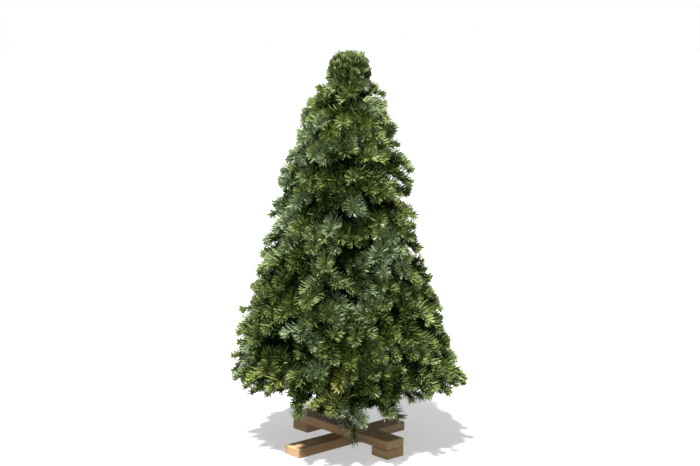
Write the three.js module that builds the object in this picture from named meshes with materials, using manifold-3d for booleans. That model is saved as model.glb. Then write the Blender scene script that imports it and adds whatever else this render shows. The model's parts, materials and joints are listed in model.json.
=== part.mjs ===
// A small cut noble fir Christmas tree on a plain crossed-board stand.
// Units are millimetres and +Z is up. The origin is the middle of the stand's underside, on the floor.
//
// The trunk runs whole from the stand to the bundle of shoots at the top. Six whorls of boughs leave it,
// each bough ends in its own mass of foliage, and the masses hang over each other like shingles.
// Every mass stays inside a cell of its own: a sector of its whorl, between two drooping surfaces.
import * as THREE from "three";
import Module from "manifold-3d";
import { mergeVertices } from "three/addons/utils/BufferGeometryUtils.js";

const wasm = await Module();
wasm.setup();

// ---------------------------------------------------------------- driving dimensions
const TREE_HEIGHT = 950; // floor to the top of the highest shoots
const GAP = 0.35; // air between two pieces that touch

// The outline: a cone, a little full in its upper half, under a blunt bundle of upright shoots.
const CONE_TOP = { z: 861, r: 72 };
const CONE_TAPER = 0.303; // radius gained for each millimetre down
const FULLNESS = { size: 12, height: 360 }; // how far the upper half swells, and over what height
const BUNDLE_RADIUS = 54;

// How foliage droops: level at the trunk, then falling by DROOP_SLOPE.
const DROOP_SLOPE = 0.44;
const DROOP_START = 42; // radius over which the fall begins

const STAND = { length: 344, width: 52, thickness: 22, turn: 42, foot: 54 };
const TRUNK = { foot: 2 * STAND.thickness + 2 * GAP, tip: 905, butt: 17.5, point: 3.4 };
const FLARE = { size: 5.5, height: 36 }; // the butt's swelling, and how fast it fades
const LEAN = { x: 7, y: -5 }; // how far the trunk's tip stands from its foot

// Whorls from the lowest up. inner: where foliage begins; bough: the limb's radius at the trunk;
// facets: rows of facets outwards, across and up; corner: how square the masses are;
// reach: how far each mass grows, beside the cone; sag: how far it hangs below its cell.
const WHORLS = [
  {
    boughs: 5, turn: -90, inner: 76, bough: 7.4, facets: [4, 5, 4], corner: 6,
    reach: [0.99, 1.0, 1.01, 1.0, 0.955], sag: [12, -12, -8, -4, -12],
  },
  { boughs: 5, turn: -54, inner: 62, bough: 6.6, facets: [4, 5, 4], corner: 8, reach: [0.98, 0.97, 1.02, 1.03, 1.05] },
  { boughs: 4, turn: -70, inner: 48, bough: 5.8, facets: [4, 5, 4], corner: 8, reach: [1.0, 0.96, 1.03, 1.06] },
  { boughs: 4, turn: -25, inner: 36, bough: 5.0, facets: [3, 5, 4], corner: 8, reach: [0.98, 0.99, 1.08, 1.04] },
  { boughs: 3, turn: -90, inner: 26, bough: 4.2, facets: [3, 6, 4], corner: 8, reach: [1.03, 1.1, 1.08] },
  { boughs: 3, turn: -30, inner: 18, bough: 3.4, facets: [3, 5, 3], corner: 9, reach: [1.04, 1.0, 1.03] },
];
const CELL_TOP = 884; // the highest drooping surface, where it meets the trunk
const CELL_FOOT = 240; // the lowest one
const CELL_GAP = 3.5; // air between whorls
const SIDE_GAP = 2; // air between neighbours in a whorl, each side

// Two lone sprays that hang under the lowest whorl in front.
const HANGING = [
  { name: "front", angle: -80, from: 78, to: 114, top: 152, bottom: 30, width: 27 },
  { name: "right", angle: -40, from: 58, to: 172, top: 152, bottom: 88, width: 25 },
];

const COLOURS = {
  bark: 0x5b4a3a,
  bough: 0x66543d,
  board: 0xc9a77a,
  foliage: [0x2f4a22, 0x35522a, 0x3c5a30, 0x41603a, 0x3a5c2c, 0x466636, 0x3f5a2b],
};

// ---------------------------------------------------------------- small helpers
const { cos, sin, PI, exp, abs, max, min, pow, hypot } = Math;
const radians = (degrees) => (degrees * PI) / 180;
const mix = (a, b, t) => a + (b - a) * t;

// A seeded random number from 0 to 1, the same on every run.
function randomFrom(seed) {
  let state = seed >>> 0;
  return () => {
    state = (state + 0x6d2b79f5) >>> 0;
    let t = state;
    t = Math.imul(t ^ (t >>> 15), t | 1);
    t ^= t + Math.imul(t ^ (t >>> 7), t | 61);
    return ((t ^ (t >>> 14)) >>> 0) / 4294967296;
  };
}

// How far foliage at radius r has fallen from where it left the trunk.
const droop = (r) => (DROOP_SLOPE * r * r) / (r + DROOP_START);

// The radius of the crown's surface at a height.
function crownRadius(z) {
  const below = CONE_TOP.z - z;
  const swell = FULLNESS.size * sin(PI * min(1, max(0, below / FULLNESS.height)));
  return CONE_TOP.r + CONE_TAPER * below + swell;
}

// Where the drooping surface that leaves the trunk at height a meets the crown's surface.
function reachOf(a) {
  let r = crownRadius(a);
  for (let i = 0; i < 12; i++) r = crownRadius(a - droop(r));
  return r;
}

// The middle line and radius of the trunk at a height.
function trunkAt(z) {
  const t = (z - TRUNK.foot) / (TRUNK.tip - TRUNK.foot);
  return {
    x: LEAN.x * t * t + 1.6 * sin(7 * t),
    y: LEAN.y * t * t + 1.4 * sin(5 * t + 1) * t,
    radius: mix(TRUNK.butt, TRUNK.point, pow(t, 0.85)) + FLARE.size * exp((TRUNK.foot - z) / FLARE.height),
  };
}

// ---------------------------------------------------------------- solids
// three.js geometry as a manifold-3d solid, for cutting.
function toSolid(geometry) {
  const bare = geometry.index ? geometry.toNonIndexed() : geometry.clone();
  bare.deleteAttribute("normal");
  bare.deleteAttribute("uv");
  const merged = mergeVertices(bare, 1e-3);
  const mesh = new wasm.Mesh({
    numProp: 3,
    vertProperties: new Float32Array(merged.attributes.position.array),
    triVerts: new Uint32Array(merged.index.array),
  });
  return new wasm.Manifold(mesh);
}

// The largest body of a solid, back as three.js geometry.
function toGeometry(solid) {
  const bodies = solid.decompose().sort((a, b) => b.volume() - a.volume());
  const mesh = bodies[0].getMesh();
  const geometry = new THREE.BufferGeometry();
  geometry.setAttribute("position", new THREE.BufferAttribute(mesh.vertProperties, 3));
  geometry.setIndex(new THREE.BufferAttribute(mesh.triVerts, 1));
  geometry.computeVertexNormals();
  return geometry;
}

// A tapering limb with flat ends: rings of `sides` corners round a middle line.
// line(t) gives the middle, radius(t) the thickness, for t from 0 to 1.
function limb(line, radius, rings, sides) {
  const corners = [];
  const up = new THREE.Vector3(0, 0, 1);
  const side = new THREE.Vector3();
  const rise = new THREE.Vector3();
  for (let i = 0; i <= rings; i++) {
    const t = i / rings;
    const middle = line(t);
    const along = line(min(1, t + 0.01)).sub(line(max(0, t - 0.01))).normalize();
    side.crossVectors(abs(along.z) > 0.9 ? new THREE.Vector3(0, 1, 0) : up, along).normalize();
    rise.crossVectors(along, side);
    for (let k = 0; k < sides; k++) {
      const turn = (2 * PI * k) / sides;
      corners.push(
        middle
          .clone()
          .addScaledVector(side, radius(t) * cos(turn))
          .addScaledVector(rise, radius(t) * sin(turn)),
      );
    }
  }
  const first = corners.length;
  corners.push(line(0), line(1));
  const faces = [];
  for (let k = 0; k < sides; k++) {
    const next = (k + 1) % sides;
    for (let i = 0; i < rings; i++) {
      const [a, b, c, d] = [i * sides + k, i * sides + next, (i + 1) * sides + k, (i + 1) * sides + next];
      faces.push(a, b, d, a, d, c);
    }
    faces.push(first, next, k);
    faces.push(first + 1, rings * sides + k, rings * sides + next);
  }
  const geometry = new THREE.BufferGeometry().setFromPoints(corners);
  geometry.setIndex(faces);
  return geometry;
}

// A closed skin of facets, squared or round. shape takes a point on a cube of half-size 1 and moves it.
function shapedBlock([across, deep, high], shape) {
  const block = new THREE.BoxGeometry(2, 2, 2, across, deep, high);
  const place = block.attributes.position;
  const point = new THREE.Vector3();
  for (let i = 0; i < place.count; i++) {
    place.setXYZ(i, ...shape(point.fromBufferAttribute(place, i)));
  }
  return block;
}

// Soft bumps over a block, from 0 to 1, that differ with the seed.
function bumpsFrom(random) {
  const waves = Array.from({ length: 4 }, () => ({
    x: 6 * random() - 3,
    y: 6 * random() - 3,
    z: 6 * random() - 3,
    start: 2 * PI * random(),
  }));
  const wave = (w, p) => 0.5 + 0.5 * sin(w.x * p.x + w.y * p.y + w.z * p.z + w.start);
  return (p) => waves.reduce((sum, w) => sum + wave(w, p), 0) / waves.length;
}

// A point on the cube drawn in to a rounded block: power 2 is a ball, a high power keeps the corners.
function rounded(p, power) {
  const size = pow(pow(abs(p.x), power) + pow(abs(p.y), power) + pow(abs(p.z), power), -1 / power);
  return [p.x * size, p.y * size, p.z * size];
}

// ---------------------------------------------------------------- trunk, boughs and foliage
function trunkLine(t) {
  const z = mix(TRUNK.foot, TRUNK.tip, t);
  const at = trunkAt(z);
  return new THREE.Vector3(at.x, at.y, z);
}

function trunk(grown = 0) {
  return limb(trunkLine, (t) => trunkAt(mix(TRUNK.foot, TRUNK.tip, t)).radius + grown, 14, 12);
}

// One bough: from the trunk's middle out to `end`, on the drooping surface that starts at height a.
function bough(a, angle, radius, end, grown = 0) {
  const start = trunkAt(a);
  const line = (t) => {
    const r = (end + grown) * t;
    const x = start.x * (1 - t) + r * cos(angle);
    const y = start.y * (1 - t) + r * sin(angle);
    return new THREE.Vector3(x, y, a - droop(r));
  };
  return limb(line, (t) => radius * mix(1, 0.72, t) + grown, 3, 6);
}

// One mass: a rounded wedge that fills its cell, with its surface pushed in here and there.
function foliage(whorl, low, high, angle, reach, random) {
  const bumps = bumpsFrom(random);
  const lumps = bumpsFrom(random);
  const half = PI / whorl.boughs;
  return shapedBlock(whorl.facets, (p) => {
    const push = bumps(p);
    const [u, v, w] = rounded(p, whorl.corner).map((c) => c * mix(0.94, 1, push));
    const a = mix(low, high, (w + 1) / 2);
    const swell = reach * mix(0.97, 1.07, lumps(p));
    const r = mix(whorl.inner, reachOf(a) * (u > 0 ? mix(1, swell, u) : 1), (u + 1) / 2);
    const turn = angle + v * max(0, half - SIDE_GAP / r);
    return [r * cos(turn), r * sin(turn), a - droop(r)];
  });
}

// The blunt bundle of upright shoots that ends the tree. Its foot lies on the top whorl, its head is domed.
function topBundle(random) {
  const bumps = bumpsFrom(random);
  const tip = trunkAt(TRUNK.tip);
  return shapedBlock([5, 5, 5], (p) => {
    const [x, y, w] = rounded(p, p.z > 0 ? 2.3 : 8);
    const wave = mix(0.92, 1.03, bumps(p));
    const plan = rounded({ x, y, z: 0 }, 2);
    const r = BUNDLE_RADIUS * wave * min(1, hypot(x, y));
    const turn = Math.atan2(plan[1], plan[0]);
    const t = (w + 1) / 2;
    const z = mix(CELL_TOP - droop(r), TREE_HEIGHT, t);
    const lean = mix(0.4, 1, t);
    return [tip.x * lean + r * cos(turn), tip.y * lean + r * sin(turn), z];
  });
}

// A lone spray: a slender, flattened spindle that hangs outwards and down.
function hangingLine(spray) {
  const angle = radians(spray.angle);
  return (t) => {
    const r = mix(spray.from, spray.to, t);
    const z = mix(spray.top, spray.bottom, t) + 12 * sin(PI * t);
    return new THREE.Vector3(r * cos(angle), r * sin(angle), z);
  };
}

function hangingSpray(spray, random) {
  const bumps = bumpsFrom(random);
  const line = hangingLine(spray);
  const heading = line(1).sub(line(0)).normalize();
  const side = new THREE.Vector3(-sin(radians(spray.angle)), cos(radians(spray.angle)), 0);
  const face = new THREE.Vector3().crossVectors(side, heading);
  return shapedBlock([4, 3, 4], (p) => {
    const [x, y, w] = rounded(p, 2.6);
    const wave = mix(0.85, 1.08, bumps(p));
    return line(mix(0.1, 1, (1 - w) / 2))
      .addScaledVector(side, spray.width * wave * x)
      .addScaledVector(face, 0.55 * spray.width * wave * y)
      .toArray();
  });
}

// ---------------------------------------------------------------- stand
// A board with eased edges, lying along X with its underside at height z.
function board(length, width, thickness) {
  const ease = 1.5;
  const outline = new THREE.Shape();
  const [x, y] = [length / 2 - ease, width / 2 - ease];
  outline.moveTo(-x, -y);
  outline.lineTo(x, -y);
  outline.lineTo(x, y);
  outline.lineTo(-x, y);
  const slab = new THREE.ExtrudeGeometry(outline, {
    depth: thickness - 2 * ease,
    bevelThickness: ease,
    bevelSize: ease,
    bevelSegments: 1,
  });
  return slab.translate(0, 0, ease);
}

// ---------------------------------------------------------------- assembly
const tree = new THREE.Group();

function paint(colour, roughness = 0.85) {
  return new THREE.MeshStandardMaterial({ color: colour, roughness, metalness: 0 });
}

function add(name, geometry, material) {
  const mesh = new THREE.Mesh(geometry, material);
  mesh.name = name;
  tree.add(mesh);
  return mesh;
}

// The stand: one board on the floor, one across it, and a block under each end of the upper one.
const standTurn = radians(STAND.turn);
const wood = paint(COLOURS.board, 0.7);
const lowerBoard = add("stand_lower_board", board(STAND.length, STAND.width, STAND.thickness), wood);
lowerBoard.rotation.z = standTurn;
const upperBoard = add("stand_upper_board", board(STAND.length, STAND.width, STAND.thickness), wood);
upperBoard.rotation.z = standTurn + PI / 2;
upperBoard.position.z = STAND.thickness + GAP;
for (const [name, end] of [["front", -1], ["back", 1]]) {
  const block = add(`stand_${name}_block`, board(STAND.foot, STAND.width, STAND.thickness), wood);
  const out = (end * (STAND.length - STAND.foot)) / 2;
  block.rotation.z = standTurn + PI / 2;
  block.position.set(-out * sin(standTurn), out * cos(standTurn), 0);
}

add("trunk", trunk(), paint(COLOURS.bark, 0.9));
const trunkHole = toSolid(trunk(GAP));

// Whorls of boughs, each with its mass of foliage.
const cellHeight = (CELL_TOP - CELL_FOOT) / WHORLS.length;
const limbBrown = paint(COLOURS.bough, 0.9);
WHORLS.forEach((whorl, level) => {
  const low = CELL_FOOT + level * cellHeight;
  const high = low + cellHeight - CELL_GAP;
  const a = (low + high) / 2;
  const green = paint(COLOURS.foliage[level]);
  for (let n = 0; n < whorl.boughs; n++) {
    const angle = radians(whorl.turn + (360 * n) / whorl.boughs);
    const label = `${level + 1}_${n + 1}`;
    const end = whorl.inner + 14;
    const limbSolid = toSolid(bough(a, angle, whorl.bough, end)).subtract(trunkHole);
    add(`bough_${label}`, toGeometry(limbSolid), limbBrown);
    const random = randomFrom(100 * (level + 1) + n);
    const sag = whorl.sag?.[n] ?? 0;
    const mass = toSolid(foliage(whorl, low - sag, high, angle, whorl.reach[n], random));
    const socket = toSolid(bough(a, angle, whorl.bough, end, GAP));
    add(`foliage_${label}`, toGeometry(mass.subtract(socket).subtract(trunkHole)), green);
  }
});

// The bundle at the top, with a socket for the trunk's tip.
const bundle = toSolid(topBundle(randomFrom(900)));
add("foliage_top", toGeometry(bundle.subtract(trunkHole)), paint(COLOURS.foliage.at(-1)));

// The lone hanging sprays, each on its own thin bough.
HANGING.forEach((spray, n) => {
  const line = hangingLine(spray);
  const start = line(0.3);
  const root = trunkAt(spray.top + 18);
  const stem = (grown) =>
    limb(
      (t) => {
        const at = new THREE.Vector3(root.x, root.y, spray.top + 18).lerp(start, t * (1 + grown / 60));
        at.z += 8 * sin(PI * t);
        return at;
      },
      (t) => mix(3.6, 2.6, t) + grown,
      3,
      6,
    );
  add(`bough_hanging_${spray.name}`, toGeometry(toSolid(stem(0)).subtract(trunkHole)), limbBrown);
  const mass = toSolid(hangingSpray(spray, randomFrom(950 + n)));
  add(`foliage_hanging_${spray.name}`, toGeometry(mass.subtract(toSolid(stem(GAP)))), paint(COLOURS.foliage[0]));
});

export default tree;
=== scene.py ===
# %% [markdown]
# # A small cut noble fir on a crossed-board stand
# The tree is a dense cone of needle-covered shoots round one straight trunk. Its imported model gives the
# real sizes: a trunk, a bough for each mass of foliage, and the masses themselves as plain solids. This
# lesson loads that model and grows the real plant inside it, from the trunk outwards.

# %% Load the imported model
import json
import math

import bpy
import numpy as np
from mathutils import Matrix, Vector
from mathutils.bvhtree import BVHTree

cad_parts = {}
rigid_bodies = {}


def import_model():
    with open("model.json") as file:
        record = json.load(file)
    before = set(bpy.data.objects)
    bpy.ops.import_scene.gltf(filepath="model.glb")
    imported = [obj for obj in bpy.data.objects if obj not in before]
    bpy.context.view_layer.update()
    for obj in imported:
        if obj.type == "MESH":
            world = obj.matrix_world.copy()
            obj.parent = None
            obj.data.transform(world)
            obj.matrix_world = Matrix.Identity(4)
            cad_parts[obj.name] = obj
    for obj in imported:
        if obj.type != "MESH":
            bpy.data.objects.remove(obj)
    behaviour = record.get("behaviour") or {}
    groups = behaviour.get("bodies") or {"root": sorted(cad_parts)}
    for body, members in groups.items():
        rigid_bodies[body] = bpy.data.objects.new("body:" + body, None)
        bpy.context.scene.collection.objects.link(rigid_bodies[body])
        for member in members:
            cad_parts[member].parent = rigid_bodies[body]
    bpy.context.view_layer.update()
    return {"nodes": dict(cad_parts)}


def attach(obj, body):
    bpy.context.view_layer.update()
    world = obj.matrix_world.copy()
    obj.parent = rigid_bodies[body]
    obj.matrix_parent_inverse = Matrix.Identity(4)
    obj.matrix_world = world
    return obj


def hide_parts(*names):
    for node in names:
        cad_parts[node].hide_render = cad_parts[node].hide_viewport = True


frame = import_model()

nodes = frame["nodes"]

# %% [markdown]
# ## Camera
# The tree is seen from the front, from a little above its middle, with a long lens that keeps its sides
# nearly parallel. A closer camera with a wide lens would make the skirt bulge. The camera comes first, so
# that every later step can be looked at through it.

# %% Camera
CAMERA_DISTANCE = 3.2
CAMERA_RISE = math.radians(8.5)
LOOK_AT = Vector((0.0084, 0, 0.515))

camera_data = bpy.data.cameras.new("camera")
camera_data.lens = 69
camera = bpy.data.objects.new("camera", camera_data)
bpy.context.scene.collection.objects.link(camera)
backwards = Vector((0, -math.cos(CAMERA_RISE), math.sin(CAMERA_RISE)))
camera.location = LOOK_AT + CAMERA_DISTANCE * backwards
camera.rotation_euler = (-backwards).to_track_quat("-Z", "Y").to_euler()
bpy.context.scene.camera = camera
print("camera at", [round(v, 3) for v in camera.location])

# %% [markdown]
# ## Helpers for many small meshes
# A tree has more than a hundred thousand needles, so nothing is made one object at a time. Every kind of
# piece is worked out as arrays of points and faces, and each array becomes one mesh in a single step. That
# is far quicker than building a mesh face by face, and the result is a plain mesh that exports as it is.

# %% Mesh from arrays
def make_piece(name, points, faces, shades, materials, slot):
    """One object from arrays: points (n, 3), faces (m, corners) and a material number for each face."""
    mesh = bpy.data.meshes.new(name)
    corners = faces.shape[1]
    mesh.vertices.add(len(points))
    mesh.vertices.foreach_set("co", np.ascontiguousarray(points, dtype=np.float32).ravel())
    mesh.loops.add(faces.size)
    mesh.loops.foreach_set("vertex_index", np.ascontiguousarray(faces, dtype=np.int32).ravel())
    mesh.polygons.add(len(faces))
    mesh.polygons.foreach_set("loop_start", np.arange(0, faces.size, corners, dtype=np.int32))
    mesh.polygons.foreach_set("material_index", np.ascontiguousarray(shades, dtype=np.int32))
    mesh.update(calc_edges=True)
    mesh.shade_smooth()
    for material in materials:
        mesh.materials.append(material)
    piece = bpy.data.objects.new(name, mesh)
    bpy.context.scene.collection.objects.link(piece)
    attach(piece, "root")
    return piece


def join_arrays(parts):
    """Joins (points, faces, shades) of many small parts into one set, renumbering the faces."""
    starts = np.cumsum([0] + [len(part[0]) for part in parts[:-1]])
    points = np.concatenate([part[0] for part in parts])
    faces = np.concatenate([part[1] + start for part, start in zip(parts, starts)])
    shades = np.concatenate([part[2] for part in parts])
    return points, faces, shades


# %% Small vector helpers
UP = np.array([0.0, 0.0, 1.0])


def unit(v):
    """v at length 1, for one vector or a row of them."""
    return v / np.maximum(np.linalg.norm(v, axis=-1, keepdims=True), 1e-9)


def turned_out(angle):
    """The level direction at an angle round the trunk."""
    return np.array([math.cos(angle), math.sin(angle), 0.0])


def curve_points(start, bend, end, count):
    """Points and directions along a smooth three-point curve."""
    t = np.linspace(0, 1, count)[:, None]
    points = (1 - t) ** 2 * start + 2 * t * (1 - t) * bend + t**2 * end
    along = unit(2 * (1 - t) * (bend - start) + 2 * t * (end - bend))
    return points, along


# %% [markdown]
# ## Reading the trunk, boughs and masses
# The solids say where everything is. The trunk's middle line and thickness come from its rings of
# corners. Each mass becomes a search tree, so that a ray can ask whether a place is in the open or hidden
# under the next mass.

# %% Corners of a node
def corners_of(name):
    """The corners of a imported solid, in metres."""
    mesh = nodes[name].data
    values = np.empty(len(mesh.vertices) * 3, dtype=np.float32)
    mesh.vertices.foreach_get("co", values)
    return values.reshape(-1, 3).astype(float)


def triangles_of(name):
    """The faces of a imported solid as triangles."""
    mesh = nodes[name].data
    mesh.calc_loop_triangles()
    values = np.empty(len(mesh.loop_triangles) * 3, dtype=np.int32)
    mesh.loop_triangles.foreach_get("vertices", values)
    return values.reshape(-1, 3)


# %% Trunk line
trunk_corners = corners_of("trunk")
ring_heights = np.unique(np.round(trunk_corners[:, 2], 4))
ring_sets = [trunk_corners[np.abs(trunk_corners[:, 2] - z) < 2e-4] for z in ring_heights]
ring_middles = np.array([(ring.max(axis=0) + ring.min(axis=0)) / 2 for ring in ring_sets])
ring_pairs = zip(ring_sets, ring_middles)
ring_radii = np.array([np.linalg.norm((ring - middle)[:, :2], axis=1).max() for ring, middle in ring_pairs])


def trunk_at(z):
    """Middle point and radius of the trunk at a height."""
    x = np.interp(z, ring_heights, ring_middles[:, 0])
    y = np.interp(z, ring_heights, ring_middles[:, 1])
    return np.array([x, y, z]), float(np.interp(z, ring_heights, ring_radii))


TRUNK_FOOT = float(ring_heights[0])
TRUNK_TIP = float(ring_heights[-1])
print("trunk from", TRUNK_FOOT, "to", TRUNK_TIP, "with", len(ring_heights), "rings")

# %% Masses as search trees
mass_names = sorted(name for name in nodes if name.startswith("foliage"))
mass_corners = {name: corners_of(name) for name in mass_names}
mass_triangles = {name: triangles_of(name) for name in mass_names}
all_corners, all_triangles, _ = join_arrays(
    [(mass_corners[n], mass_triangles[n], np.zeros(len(mass_triangles[n]))) for n in mass_names]
)
crown_search = BVHTree.FromPolygons(all_corners.tolist(), all_triangles.tolist())
print(len(mass_names), "masses with", len(all_triangles), "faces")

# %% [markdown]
# ## Needle colours
# Noble fir is never one green. New growth is yellow-green, older needles are deep green, and a bloom of
# wax turns many of them blue-grey. Near the twig many needles are darker, partly as older needles and
# partly as painted shade, and the first part of many needles is darker too, as painted shade where the
# shoot shades itself. A pattern on each needle would be too fine to see, so each colour is a plain
# material, and whole sprays are dealt one family of colours. That way the tint stays with its spray in
# every program that opens the model. The wax is a soft sheen, and the rest of the needle is a fairly
# smooth leaf surface.

# %% Plain materials
WAX_TINT = (0.75, 0.9, 0.85, 1)


def plain_material(name, colour, roughness, wax=0.0, shine=0.6):
    """One colour all over, with a sheen of wax if asked for."""
    material = bpy.data.materials.new(name)
    material.use_nodes = True
    surface = material.node_tree.nodes["Principled BSDF"]
    surface.inputs["Base Color"].default_value = (*colour, 1)
    surface.inputs["Roughness"].default_value = roughness
    surface.inputs["Specular IOR Level"].default_value = shine
    if wax:
        surface.inputs["Sheen Weight"].default_value = wax
        surface.inputs["Sheen Roughness"].default_value = 0.4
        surface.inputs["Sheen Tint"].default_value = WAX_TINT
    return material


# %% Needle materials
NEEDLE_COLOURS = {
    # name: colour, roughness, wax, shine
    "blue": ((0.252, 0.334, 0.180), 0.45, 0.12),
    "blue_deep": ((0.090, 0.129, 0.053), 0.5, 0.0, 0.2),
    "sage": ((0.237, 0.300, 0.125), 0.45, 0.1),
    "green": ((0.166, 0.220, 0.058), 0.4),
    "green_deep": ((0.053, 0.084, 0.016), 0.5, 0.0, 0.2),
    "grass": ((0.248, 0.312, 0.068), 0.4),
    "olive": ((0.236, 0.276, 0.062), 0.45),
    "fern": ((0.222, 0.282, 0.104), 0.45, 0.05),
    "olive_deep": ((0.085, 0.098, 0.023), 0.5, 0.0, 0.2),
    "gold": ((0.360, 0.330, 0.080), 0.45),
    # pale: far paler than the waxy blue; the extra paleness is painted light for the spray that hangs in
    # shade
    "pale_painted_light": ((0.620, 0.700, 0.500), 0.45, 0.1),
    # shade: a near-black green, painted shade for needles deep in the crown and in the gaps between needles
    "shade": ((0.015, 0.027, 0.004), 0.8, 0.0, 0.05),
}
needle_names = list(NEEDLE_COLOURS)
needle_materials = [plain_material(f"needle_{name}", *NEEDLE_COLOURS[name]) for name in needle_names]
SHADE = {name: number for number, name in enumerate(needle_names)}

# Each family: the colour of young needles and of the lower side, the colour deep in the shoot, which is
# partly painted shade, and colours for the rest of the needle with their shares.
FAMILIES = {
    "blue": ("fern", "blue_deep", ["blue", "sage", "blue_deep"], [0.75, 0.15, 0.10]),
    "silver": ("sage", "blue_deep", ["blue", "sage"], [0.8, 0.2]),
    "fern": ("grass", "green_deep", ["fern", "green", "sage"], [0.7, 0.15, 0.15]),
    "green": ("grass", "green_deep", ["green", "grass", "green_deep"], [0.7, 0.15, 0.15]),
    "grass": ("grass", "green_deep", ["grass", "green"], [0.75, 0.25]),
    # the next family is a deep green tone, dealt by chance and also to places in shadow as painted shade
    "deep_and_painted_shade": ("green", "shade", ["green_deep", "green"], [0.6, 0.4]),
    "sage": ("grass", "green_deep", ["sage", "green", "blue_deep"], [0.75, 0.15, 0.10]),
    "olive": ("olive", "olive_deep", ["olive", "grass", "olive_deep"], [0.65, 0.2, 0.15]),
    "gold": ("gold", "olive_deep", ["gold", "olive"], [0.45, 0.55]),
    # the next family holds the pale colour, painted light for the front spray that hangs in shade
    "feather": ("fern", "green_deep", ["pale_painted_light", "sage", "green", "green_deep"], [0.25, 0.35, 0.2, 0.2]),
    # the next family is near black: painted shade for shoots inside the crown and in its hollows
    "painted_shade": ("shade", "shade", ["shade", "green_deep"], [0.65, 0.35]),
    "tuft": ("fern", "shade", ["sage", "fern", "olive", "green_deep"], [0.05, 0.22, 0.18, 0.55]),
}
print(len(needle_materials), "needle colours in", len(FAMILIES), "families")

# %% [markdown]
# ## One needle
# A needle is a narrow leaf that starts thin, is widest a third of the way along and ends narrow. It leaves
# the twig almost along it, then curves away and up, as the needles of this fir do. A needle with a
# thickness would take a dozen faces, but three triangles give its outline and its curve. At three
# millimetres it is wider than a real one, so that fewer fill the crown. The needles stand in seven ranks
# along the shoot, each rank set a little further on than the one before, which gives the combed look of
# a fir shoot, and a cone of needles ends it. Close to the twig, short needles of one triangle each fill
# the shoot. Their dark colours are painted shade, so that the gaps between the long ones look into
# shade. A whole shoot's needles are worked out together, as arrays.

# %% Needle sizes and ways
NEEDLE_LENGTH = 0.030
NEEDLE_WIDTH = 0.0030
NEEDLE_BEND = 0.36  # how far along a needle its widest place is
END_WIDTH = 0.45  # its width at the end, as a share of the widest
GOLDEN = 0.6180339887  # share of a turn between one needle and the next in the cone at the tip
CONE_DEPTH = 0.010  # how far back from the shoot's end the cone's needles start
TIP_REACH = 0.024  # how far back from a shoot's end its needles are shorter
FOOT_LEAN = 36  # degrees between a needle and the shoot where it starts
END_LEAN = 68  # and past its widest place
CONE_LEAN = 62  # degrees that the cone opens by on each side
SHORT_LEANS = (30, 75)
SHORT_LENGTHS = (0.45, 0.7)  # of the short dark needles, as a share of the long ones
YOUNG_SHARE = 0.45  # share of the needles with the young colour at the shoot's end
# Near the shoot's foot and at the foot of many needles the inside colour is partly painted shade.
INSIDE_REACH = 0.3  # how far up the shoot needles of the inside colour are found
DARK_FOOT_SHARE = 0.45  # share of the needles whose first triangle has the inside colour
INSIDE_SHARE = 0.35  # share of the short needles with the inside colour, the rest being darker
LOWER_SIDE = 0.6  # needles further round the shoot than this share start with the young colour
# spread: how far round the shoot needles stand. sweep: how much of that is left at their ends.
# ranks: needles in a row round the shoot. tip: needles in the cone at its end. blunt: their length.
# fill: short dark needles for each millimetre. broad: their width. scale, lean and width change the
# length, the lean away from the shoot and the width of the long needles.
NEEDLE_WAYS = {
    "spread": 2.7,
    "sweep": 0.6,
    "ranks": 7,
    "tip": 36,
    "blunt": 0.7,
    "fill": 2.4,
    "broad": 0.0032,
    "scale": 1.0,
    "lean": 1.0,
    "width": 1.0,
}
print("a needle is", 1000 * NEEDLE_LENGTH, "mm long and", 1000 * NEEDLE_WIDTH, "mm wide")

# %% Where the needles stand
def needle_frames(points, along, above, place):
    """Where needles stand along a shoot: their feet, the shoot's direction, the upper side and the side."""
    lengths = np.linalg.norm(np.diff(points, axis=0), axis=1)
    marks = np.concatenate([[0], np.cumsum(lengths)]) / lengths.sum()
    foot = np.stack([np.interp(place, marks, points[:, k]) for k in range(3)], axis=1)
    axis = unit(np.stack([np.interp(place, marks, along[:, k]) for k in range(3)], axis=1))
    rise = unit(above - axis * np.sum(axis * above, axis=1, keepdims=True))
    return foot, axis, rise, np.cross(axis, rise)


# %% Long needles
def long_needles(frames, lean_foot, lean_end, turn, turn_end, full, twist, broad):
    """Five corners and three triangles for each long needle."""
    foot, axis, rise, side = frames
    rows = [foot]
    spot = foot
    for lean, around, share, width in (
        (lean_foot, turn, NEEDLE_BEND, 1.0),
        (lean_end, turn_end, 1 - NEEDLE_BEND, END_WIDTH),
    ):
        outward = rise * np.cos(around)[:, None] + side * np.sin(around)[:, None]
        heading = axis * np.cos(lean)[:, None] + outward * np.sin(lean)[:, None]
        spot = spot + heading * (full * share)[:, None]
        flat = unit(np.cross(heading, outward))
        across = flat * np.cos(twist)[:, None] + np.cross(heading, flat) * np.sin(twist)[:, None]
        half = 0.5 * width * broad[:, None] * across
        rows += [spot - half, spot + half]
    corners = np.stack(rows, axis=1).reshape(-1, 3)
    first = 5 * np.arange(len(foot))[:, None, None]
    faces = (first + np.array([[0, 1, 2], [1, 3, 4], [1, 4, 2]])).reshape(-1, 3)
    return corners, faces


# %% Short needles
def short_needles(frames, lean, turn, full, broad, rng):
    """Three corners and one triangle for each short needle, widest at its foot."""
    foot, axis, rise, side = frames
    outward = rise * np.cos(turn)[:, None] + side * np.sin(turn)[:, None]
    heading = axis * np.cos(lean)[:, None] + outward * np.sin(lean)[:, None]
    across = unit(np.cross(heading, outward) + 0.7 * rng.normal(0, 1, (len(foot), 3)))
    half = 0.5 * broad * across
    corners = np.stack([foot - half, foot + half, foot + heading * full[:, None]], axis=1)
    return corners.reshape(-1, 3), np.arange(3 * len(foot)).reshape(-1, 3)


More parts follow.
